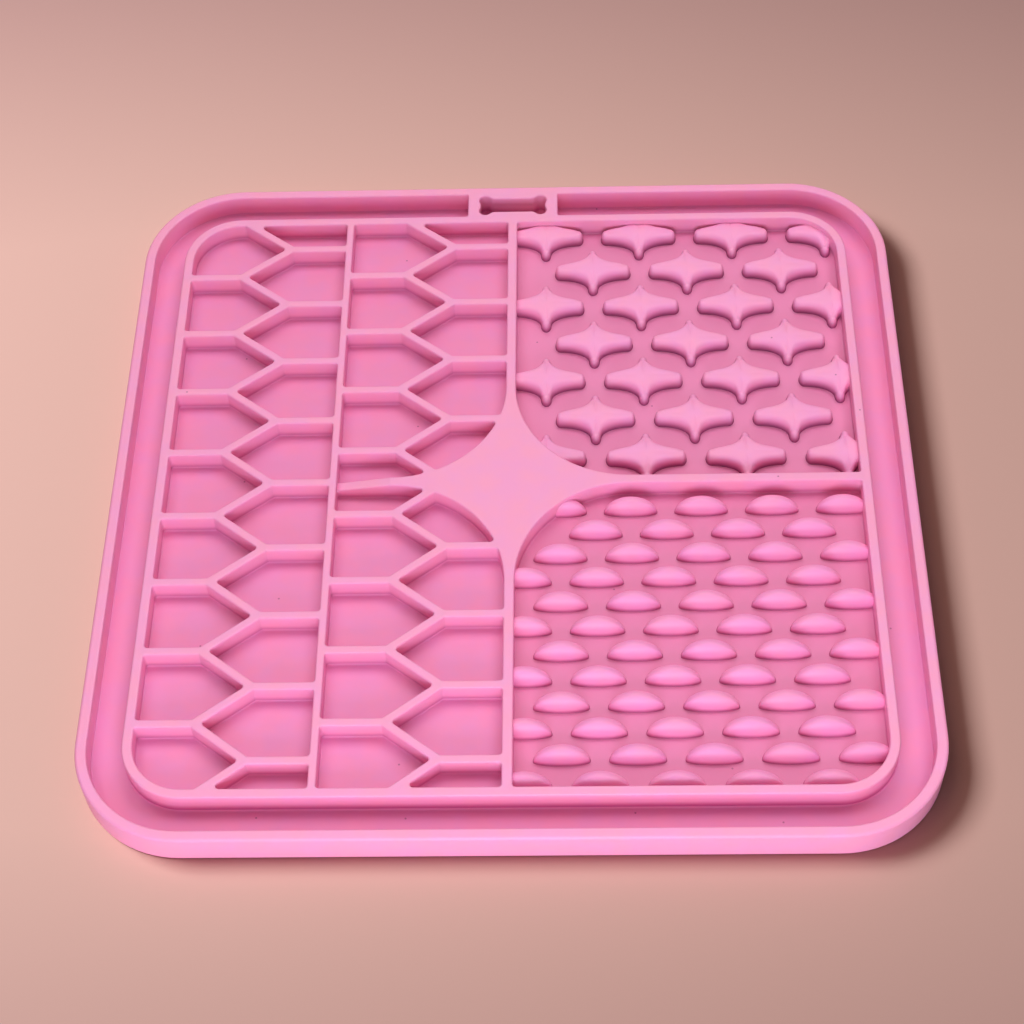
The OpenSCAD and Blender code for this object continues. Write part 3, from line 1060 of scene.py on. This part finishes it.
@dataclass
class Bumps:
    """What the two kinds of bumps share: rows of spots, a fillet, and walls that cut the outer ones off.

    The first bump's place is counted from the faces of the centre and the right divider, the pitch
    is that along a row and that from row to row, and away is 1 towards the back and -1 towards the
    front.
    """

    sizes: MatSizes
    node: str
    first: tuple[float, float]
    pitch: tuple[float, float]
    away: int
    height: float
    foot: float
    rows: int = 16
    columns: int = 9

    def build(self, moulder: Moulder) -> None:
        """Sets a bump on every spot."""
        points, faces = repeated(*self.bump(), self._spots())
        moulder.piece(self.node, self._held(points), faces, crease=70.0)

    def bump(self) -> Surface:
        """One bump round the origin, on the field's floor."""
        raise NotImplementedError

    def skirt(self, line: Array, way: Array, degrees: Array) -> list[Array]:
        """Rings of a hollow fillet: out by the radius less its sine, up by the radius less its cosine."""
        shares = [(1 - math.sin(turn), 1 - math.cos(turn)) for turn in np.radians(degrees)]
        return [ring(line + way * (self.foot * out), self.foot * up - SKIN_START) for out, up in shares]

    def closed(self, rings: list[Array], middle: float = 0.0) -> Surface:
        """Sets a stack of rings on the floor and closes it over and under a middle on the Y axis."""
        floor = self.sizes.field_floor
        return capped(np.array(rings) + [0.0, 0.0, floor], floor - ROOT, floor + self.height, middle)

    def _spots(self, margin: float = 2.0) -> Array:
        """Middles in staggered rows, from a grid wider than the field that the walls and the star cut.

        Args:
            margin: How far into the star's hollow side a middle may lie.

        Returns:
            One spot a row.
        """
        s = self.sizes
        row, column = np.meshgrid(np.arange(self.rows), np.arange(self.columns) - 1, indexing="ij")
        x = s.star_x + s.half_divider + self.first[0] + (column + 0.5 * (row % 2)) * self.pitch[0]
        y = s.star_y + self.away * (s.half_divider + self.first[1] + row * self.pitch[1])
        inner = np.minimum(0, np.abs(np.stack([x - s.star_x, y - s.star_y])) - s.star_reach)
        clear = np.linalg.norm(inner, axis=0) - s.star_arc < margin
        keep = (x > s.star_x + s.half_divider) & (x < s.field_half) & (np.abs(y) < s.field_half) & clear
        return np.stack([x[keep], y[keep]], axis=1)

    def _held(self, points: Array) -> Array:
        """Pulls in what would reach through a wall, to a surface inside the wall's thickness.

        Args:
            points: Points of all the bumps.

        Returns:
            The points, moved in the plan.
        """
        s = self.sizes
        moved = points.copy()
        moved[:, 0] = np.maximum(moved[:, 0], s.star_x)
        moved[:, 1] = s.star_y + self.away * np.maximum(self.away * (moved[:, 1] - s.star_y), 0.0)
        centre = np.clip(moved[:, :2], -s.straight, s.straight)
        reach = moved[:, :2] - centre
        length = np.linalg.norm(reach, axis=1, keepdims=True)
        limit = s.field_radius + s.frame_width / 2
        moved[:, :2] = centre + reach * np.minimum(1.0, limit / np.maximum(length, NOTHING))
        return moved


@dataclass
class StarBumps(Bumps):
    """Puffy four-pointed stars in the back right field."""

    node: str = "star_bumps"
    first: tuple[float, float] = (7.8, 8.1)
    pitch: tuple[float, float] = (25.2, 12.6)
    away: int = 1
    height: float = 3.6
    foot: float = 0.25
    reach: tuple[float, float] = (10.1, 7.5)
    arm: tuple[float, float] = (1.25, 1.9)
    fall: tuple[float, float] = (0.2, 0.34)
    fall_power: float = 1.7
    foot_power: float = 3.7
    spine_power: float = 6.0
    section: tuple[float, float] = (0.48, 0.8)
    section_power: int = 6
    dome_angles: tuple[float, float, int] = (4, 87, 12)
    crown_shares: tuple[float, ...] = (0.8, 0.6, 0.4, 0.2)
    side_steps: int = 14
    tip_steps: int = 10

    def bump(self) -> Surface:
        """One star.

        The first parameter runs round the foot, a four-pointed curve whose x and y are powers
        of a cosine and a sine, moved outwards by half the arms' widths. The spine is such a
        curve too, drawn in so far that it is nearly a cross, and its height falls towards the
        ends of the arms as a power of the way along them. The second parameter is an angle: a
        point lies between spine and foot by a power of its cosine, and as high as the spine's
        height times a power of its sine. The power grows towards the ends of the arms, which
        makes them round. Past that the rings shrink to the middle.

        Returns:
            Points round the origin on the field's floor, and triangles.
        """
        arm = np.array(self.arm)
        arms = np.array(self.reach) - arm
        thin, way = self._curve(arms, self.foot_power)
        share = np.abs(self._curve(np.ones(2), self.spine_power)[0])
        spine = share * arms * np.sign(thin)
        sole = thin + way * arm
        blunt, pointed = self.section
        power = blunt + (pointed - blunt) * share.max(axis=1) ** self.section_power
        rings = self.skirt(sole, way, np.array([0, 30, 60]))
        for angle in np.radians(np.linspace(*self.dome_angles)):
            wide, up = math.cos(angle) ** power, math.sin(angle) ** power
            height = self.foot + (self._spine_height(share) - self.foot) * up
            rings.append(ring(spine + (sole - spine) * wide[:, None], height))
        last = rings[-1][:, :2]
        rings += [ring(last * left, self._spine_height(share * left)) for left in self.crown_shares]
        return self.closed(rings)

    def _spine_height(self, share: Array) -> Array:
        """Height of the spine at shares of the way along the arms."""
        return self.height * (1 - share ** self.fall_power @ np.array(self.fall))

    def _curve(self, arms: Array, power: float) -> tuple[Array, Array]:
        """A four-pointed curve and the way out of it, with a half circle of ways at each tip.

        Args:
            arms: Length of an arm along each axis.
            power: Power of the cosine and the sine, which draws the sides in.

        Returns:
            Points and unit vectors, one pair a row.
        """
        cos, sin = direction(np.linspace(0, 90, self.side_steps + 1)[1:-1]).T
        rays = direction(np.linspace(-90, 90, self.tip_steps + 1))
        points, ways = [], []
        for quarter, (along, across) in enumerate((arms, arms[::-1], arms, arms[::-1])):
            side = np.stack([along * cos ** power, across * sin ** power], 1)
            way = np.stack([across * sin ** (power - 2), along * cos ** (power - 2)], 1)
            way /= np.linalg.norm(way, axis=1, keepdims=True)
            spin = direction(np.array([90.0 * quarter, 90.0 * quarter + 90]))
            points.append(np.concatenate([np.repeat([[along, 0.0]], len(rays), axis=0), side]) @ spin)
            ways.append(np.concatenate([rays, way]) @ spin)
        return np.concatenate(points), np.concatenate(ways)


@dataclass
class GrainBumps(Bumps):
    """Rice-shaped grains in the front right field."""

    node: str = "grain_bumps"
    first: tuple[float, float] = (11.15, 4.6)
    pitch: tuple[float, float] = (17.5, 7.0)
    away: int = -1
    height: float = 4.1
    foot: float = 0.3
    reach: float = 6.5
    front: float = 1.05
    back: float = 3.75
    crown: float = 1.1
    shift: float = -1.26
    steps: int = 48

    def bump(self) -> Surface:
        """One grain.

        The first parameter runs round the foot: half an ellipse that is shallow towards the
        front and half of one that is deep towards the back, so that the ends of the grain lie
        near its front. The second draws the foot in to the crown by a cosine, while the height
        grows with the sine.

        Returns:
            Points round the origin on the field's floor, and triangles.
        """
        ray = direction(np.linspace(0, 360, self.steps, endpoint=False))
        depth = np.where(ray[:, 1] < 0, self.front, self.back)
        size = np.column_stack([np.full(len(ray), self.reach), depth])
        lens = size * ray + [0.0, self.shift]
        way = ray / size
        way /= np.linalg.norm(way, axis=1, keepdims=True)
        crown = np.array([0.0, self.crown + self.shift])
        rings = self.skirt(lens, way, np.linspace(0, 90, 5))
        for turn in np.radians(np.linspace(0, 90, 12)[1:-1]):
            rise = self.foot + (self.height - self.foot) * math.sin(turn)
            rings.append(ring(crown + (lens - crown) * math.cos(turn), rise))
        return self.closed(rings, float(crown[1]))


@dataclass
class SuctionCups:
    """Shallow cups in a grid under the field's sheet."""

    sizes: MatSizes
    pitch: float = 24.0
    radius: float = 7.5
    neck: float = 4.0
    lip: float = 0.9
    lip_flat: float = 0.6
    lip_rise: float = 0.02
    lip_round: tuple[float, float] = (0.12, 0.14)
    hollow: float = 1.4
    flank_power: float = 0.8
    rows: int = 7
    steps: int = 32

    def build(self, moulder: Moulder) -> None:
        """Hangs a cup at every place of a square grid.

        Args:
            moulder: Makes the piece.
        """
        step = (np.arange(self.rows) - self.rows // 2) * self.pitch
        x, y = np.meshgrid(step, step)
        spots = np.stack([x.ravel(), y.ravel()], axis=1)
        moulder.piece("suction_cups", *repeated(*self._cup(), spots), crease=50.0)

    def _cup(self) -> Surface:
        """One cup: a profile turned about the upright axis.

        Inside, the height falls from the hollow's depth as the square of the radius. The lip is
        flat, and outside the radius shrinks towards the neck as the height's share to a power.

        Returns:
            Points round the origin, and triangles.
        """
        top = self.sizes.field_floor - self.sizes.sheet
        share = np.linspace(0.0, 1.0, 7)[1:]
        depth = self.hollow * (1 - share ** 2) + self.lip_rise * share
        inside = np.stack([(self.radius - self.lip) * share, depth], 1)
        lip = np.array([[self.radius - self.lip * self.lip_flat, 0.0],
                        [self.radius - self.lip_round[0], 0.0], [self.radius, self.lip_round[1]]])
        rise = np.linspace(0.15, 1.0, 6)
        shrink = (1 - rise) ** self.flank_power
        flank = np.stack([self.neck + (self.radius - self.neck) * shrink, rise * top], 1)
        ray = direction(np.linspace(0, 360, self.steps, endpoint=False))
        rings = [ring(radius * ray, height) for radius, height in np.concatenate([inside, lip, flank])]
        return capped(np.array(rings), self.hollow, top)


@dataclass(frozen=True)
class Lamp:
    """A square soft lamp that looks at the mat's middle: its place and size in metres, power in watts."""

    name: str
    place: tuple[float, float, float]
    size: float
    power: float
    colour: Colour = (1.0, 1.0, 1.0)

    def hang(self) -> bpy.types.Object:
        """Puts the lamp in the studio.

        Returns:
            The lamp.
        """
        data = bpy.data.lights.new(self.name, "AREA")
        data.shape = "SQUARE"
        data.size = self.size
        data.energy = self.power
        data.color = self.colour
        lamp = bpy.data.objects.new(self.name, data)
        lamp.location = self.place
        lamp.rotation_euler = (-Vector(self.place)).to_track_quat("-Z", "Y").to_euler()
        bpy.context.scene.collection.objects.link(lamp)
        return lamp


@dataclass
class Studio:
    """Table, lamps and camera, in metres, but for the camera's place, which is in millimetres.

    The camera looks along its pitch, yaw and roll in degrees.
    """

    table_half: float = 3.0
    table_roughness: float = 0.7
    table_specular: float = 0.2
    table_colour: Colour = (0.60, 0.36, 0.30)
    # Painted shade on the table: the colour darkens towards this one away from the mat's middle line,
    # between the two distances below, in metres, with X squeezed.
    table_painted_shade: Colour = (0.40, 0.225, 0.20)
    table_shade_squeeze: tuple[float, float, float] = (0.35, 1.0, 0.0)
    table_shade_fade: tuple[float, float] = (0.10, 0.21)
    mat_lamps: tuple[Lamp, ...] = (
        Lamp("high_back_lamp", (0.0, 0.45, 1.0), 0.5, 2.7),
        Lamp("high_right_lamp", (0.5, 0.35, 1.0), 0.5, 3.4),
        Lamp("high_left_lamp", (-0.5, 0.35, 1.0), 0.5, 2.5),
        Lamp("back_lamp", (0.0, 1.1, 0.7), 0.7, 3.2),
        Lamp("front_lamp", (0.0, -0.6, 0.75), 0.5, 1.3),
        Lamp("low_front_lamp", (0.0, -0.40, 0.11), 0.25, 1.35, (0.90, 0.98, 1.10)),
    )
    table_lamps: tuple[Lamp, ...] = (
        Lamp("table_key", (-0.68, 0.16, 0.80), 0.42, 14.0, (0.95, 1.0, 1.06)),
        Lamp("table_fill", (-0.3, -0.02, 0.95), 0.4, 1.5, (1.0, 0.60, 0.50)),
    )
    sky_colour: Colour = (1.0, 0.97, 0.96)
    sky_strength: float = 0.10
    camera_place: tuple[float, float, float] = (15.705, -314.819, 432.072)
    pitch: float = 54.272
    yaw: float = -2.922
    roll: float = -3.041
    lens: float = 74.42

    def build(self) -> None:
        """Sets up everything that isn't part of the mat."""
        bpy.context.scene.view_settings.view_transform = "Standard"
        self._camera()
        self._lamps(self._table())

    def _camera(self) -> None:
        """A camera whose forward, right and up vectors come from pitch, yaw and roll."""
        pitch, yaw, roll = (math.radians(value) for value in (self.pitch, self.yaw, self.roll))
        level = math.cos(pitch)
        forward = Vector((math.sin(yaw) * level, math.cos(yaw) * level, -math.sin(pitch)))
        right = forward.cross(Vector((0, 0, 1))).normalized()
        up = right.cross(forward)
        turned_right = right * math.cos(roll) + up * math.sin(roll)
        turned_up = up * math.cos(roll) - right * math.sin(roll)
        data = bpy.data.cameras.new("photo_camera")
        data.lens = self.lens
        data.sensor_width = 36.0
        camera = bpy.data.objects.new("photo_camera", data)
        turn = Matrix((turned_right, turned_up, -forward)).transposed().to_4x4()
        camera.matrix_world = Matrix.Translation(Vector(self.camera_place) * MM) @ turn
        bpy.context.scene.collection.objects.link(camera)
        bpy.context.scene.camera = camera

    def _table(self) -> bpy.types.Object:
        """A wide plain table top with painted shade: its colour darkens away from the line across under
        the mat's middle.

        Returns:
            The table.
        """
        mesh = bpy.data.meshes.new("table")
        half, quarters = self.table_half, ((-1, -1), (1, -1), (1, 1), (-1, 1))
        mesh.from_pydata([(half * x, half * y, 0) for x, y in quarters], [], [(0, 1, 2, 3)])
        table = bpy.data.objects.new("table", mesh)
        bpy.context.scene.collection.objects.link(table)
        made = Shading("table_top")
        squeezed = made.add("Mapping", {"Vector": made.place, "Scale": self.table_shade_squeeze})
        away = made.add("VectorMath", {"Vector": squeezed.outputs["Vector"]}, operation="LENGTH")
        # Painted shade: the table darkens between the two distances from under the mat.
        shade_share = made.mapped(away.outputs["Value"], self.table_shade_fade)
        tone = made.mixed(shade_share, self.table_colour, self.table_painted_shade)
        surface = {"Base Color": tone, "Roughness": self.table_roughness,
                   "Specular IOR Level": self.table_specular}
        mesh.materials.append(made.finished(surface))
        return table

    def _lamps(self, table: bpy.types.Object) -> None:
        """Broad soft lamps for the mat, two lamps of the table's own, and a faint even sky.

        Args:
            table: The table, which the mat's lamps leave out.
        """
        world = bpy.data.worlds.new("studio")
        world.use_nodes = True
        sky = world.node_tree.nodes["Background"]
        sky.inputs["Color"].default_value = (*self.sky_colour, 1.0)
        sky.inputs["Strength"].default_value = self.sky_strength
        bpy.context.scene.world = world
        for lamps, state in ((self.mat_lamps, "EXCLUDE"), (self.table_lamps, "INCLUDE")):
            lit = bpy.data.collections.new("table_" + state.lower())
            lit.objects.link(table)
            lit.collection_objects[0].light_linking.link_state = state
            for lamp in lamps:
                lamp.hang().light_linking.receiver_collection = lit


def main() -> None:
    """Builds the studio and then every piece of the mat."""
    logging.basicConfig(level=logging.INFO, format="%(message)s")
    Studio().build()
    sizes = MatSizes()
    moulder = Moulder(sizes)
    pockets = Pockets(sizes)
    for part in (Walls(sizes, pockets), Floors(sizes, pockets),
                 StarBumps(sizes), GrainBumps(sizes), SuctionCups(sizes)):
        part.build(moulder)
    LOG.info("%d pieces", moulder.count)


if __name__ == "__main__":
    main()
